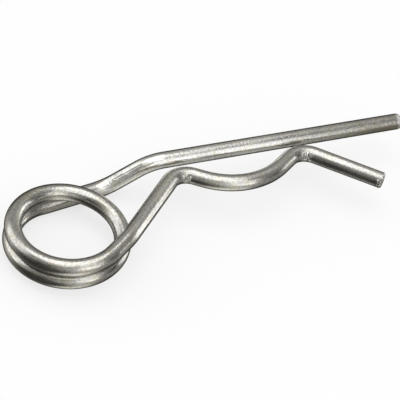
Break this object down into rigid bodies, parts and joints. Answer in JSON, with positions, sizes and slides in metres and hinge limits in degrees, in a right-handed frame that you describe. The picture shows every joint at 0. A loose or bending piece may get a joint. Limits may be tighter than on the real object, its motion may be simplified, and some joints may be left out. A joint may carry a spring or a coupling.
{
  "type": "hitch r clip pin",
  "caption": "Spring clip pin bent from one round wire: a sprung coil, a straight leg that goes through a shaft's cross hole, and a wavy leg that grips round the shaft.",
  "frame": {"origin": "on the straight leg's axis, in the middle of the shaft seat", "axes": "+X along the straight leg to its tip, +Y away from the wavy leg, +Z along the coil's axis from the straight leg's turn to the wavy leg's turn"},
  "size_m": [0.1063, 0.0314, 0.0109],
  "materials": {
    "steel": "zinc plated drawn spring wire, satin with fine lengthwise lines"
  },
  "bodies": {
    "root": {"clip": "steel"}
  },
  "joints": []
}
